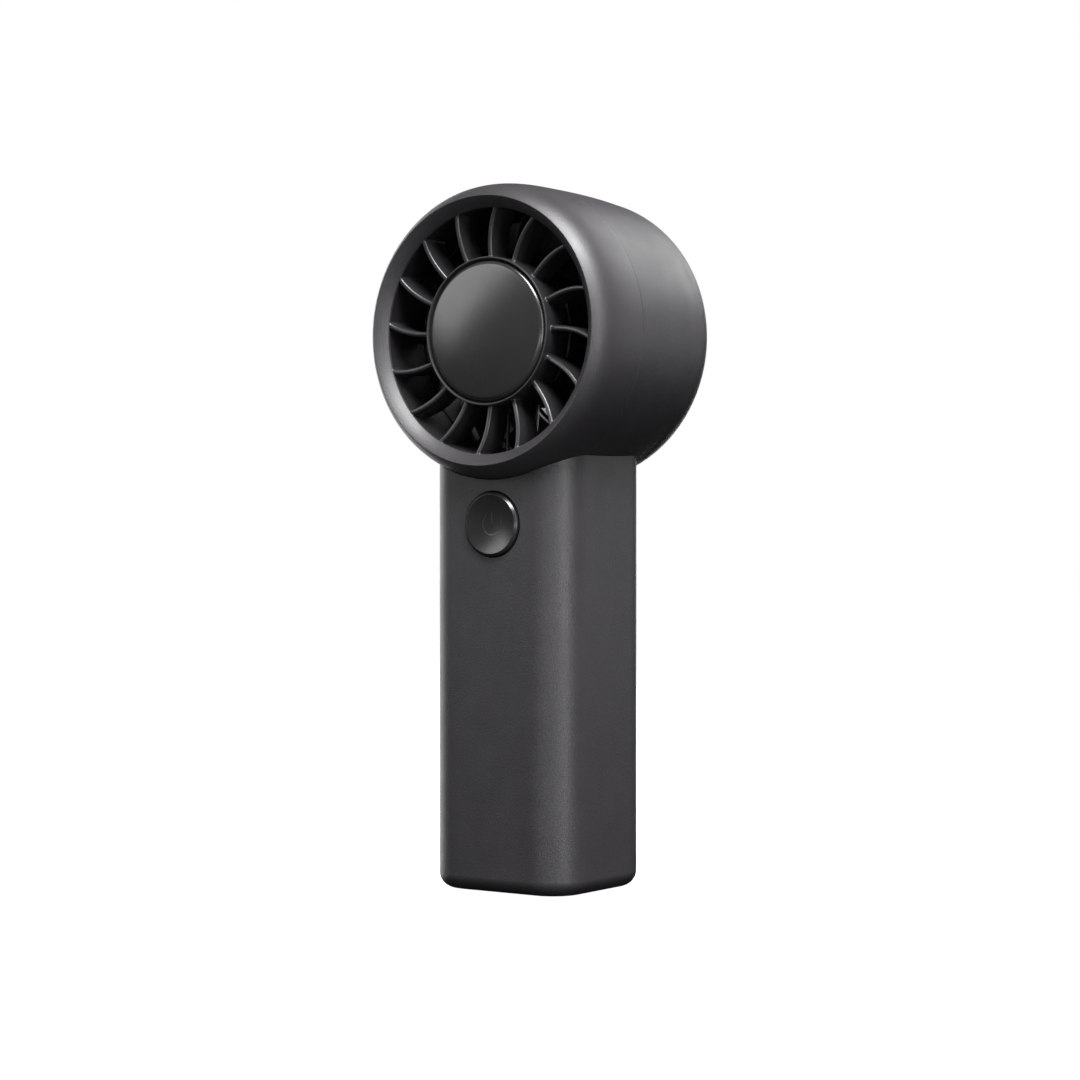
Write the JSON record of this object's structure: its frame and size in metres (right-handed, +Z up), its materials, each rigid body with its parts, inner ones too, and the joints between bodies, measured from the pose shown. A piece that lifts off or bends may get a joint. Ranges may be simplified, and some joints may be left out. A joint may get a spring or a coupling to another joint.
{
  "type": "handheld fan",
  "caption": "Cordless handheld fan with a ducted barrel head, swept guide vanes round a domed hub, and a straight rounded battery handle with a round push button.",
  "frame": {"origin": "on the surface that the fan stands on, under the middle of its bounding box", "axes": "+Z up along the handle, -Y out of the front of the head, along the rotor's axis, +X to the viewer's right from in front"},
  "size_m": [0.0604, 0.0446, 0.1431],
  "materials": {
    "housing": "fine moulded grain, matte dark grey",
    "grille": "smooth satin dark grey",
    "cap": "satin gloss dark grey",
    "button": "glossy black",
    "rotor_plastic": "satin black",
    "steel": "plain steel",
    "magnet": "dark grey coated",
    "copper": "enamelled copper wire",
    "circuit_board": "green solder mask",
    "frame_plastic": "natural white",
    "cell_wrap": "blue shrink sleeve",
    "nickel": "nickel strip",
    "lead_red": "red insulation",
    "lead_black": "black insulation",
    "component": "moulded black",
    "pale_plastic": "plain white"
  },
  "bodies": {
    "housing": {"base_cap": "housing", "base_screw_1": "steel", "base_screw_2": "steel", "battery_cell": "cell_wrap", "battery_lead_negative": "lead_black", "battery_lead_positive": "lead_red", "battery_tab_bottom": "nickel", "battery_tab_top": "nickel", "board_screw_1": "steel", "board_screw_2": "steel", "charge_board": "circuit_board", "coil_1": "copper", "coil_2": "copper", "coil_3": "copper", "coil_4": "copper", "coil_5": "copper", "coil_6": "copper", "driver_chip": "component", "front_bearing": "steel", "front_bezel": "housing", "front_grille": "grille", "handle_sleeve": "housing", "hub_cap": "cap", "inductor": "component", "inner_frame": "frame_plastic", "lead_connector": "frame_plastic", "main_board": "circuit_board", "motor_base": "steel", "motor_board": "circuit_board", "motor_lead": "lead_black", "motor_screw_1": "steel", "motor_screw_2": "steel", "motor_screw_3": "steel", "neck_screw_1": "steel", "neck_screw_2": "steel", "rear_bearing": "steel", "rear_grille": "grille", "rear_shell": "housing", "stator_core": "magnet", "status_led": "pale_plastic", "switch_body": "component", "usb_socket": "steel"},
    "rotor": {"impeller": "rotor_plastic", "rotor_can": "steel", "magnet_ring": "magnet", "motor_shaft": "steel", "shaft_clip": "steel"},
    "button": {"button_cap": "button"},
    "plunger": {"switch_plunger": "pale_plastic"}
  },
  "joints": [
    {"name": "rotor_spin", "type": "hinge", "parent": "housing", "child": "rotor", "pos_m": [0, 0, 0.11286], "axis": [0, 1, 0], "continuous": true},
    {"name": "button_press", "type": "slide", "parent": "housing", "child": "button", "axis": [0, 1, 0], "range_m": [0, 0.0004], "stiffness_N_per_m": 400, "springref_m": -0.0004},
    {"name": "plunger_press", "type": "slide", "parent": "housing", "child": "plunger", "axis": [0, 1, 0], "range_m": [0, 0.0004]}
  ],
  "couplings": [
    {"joint": "plunger_press", "follows": "button_press", "ratio": 1}
  ]
}
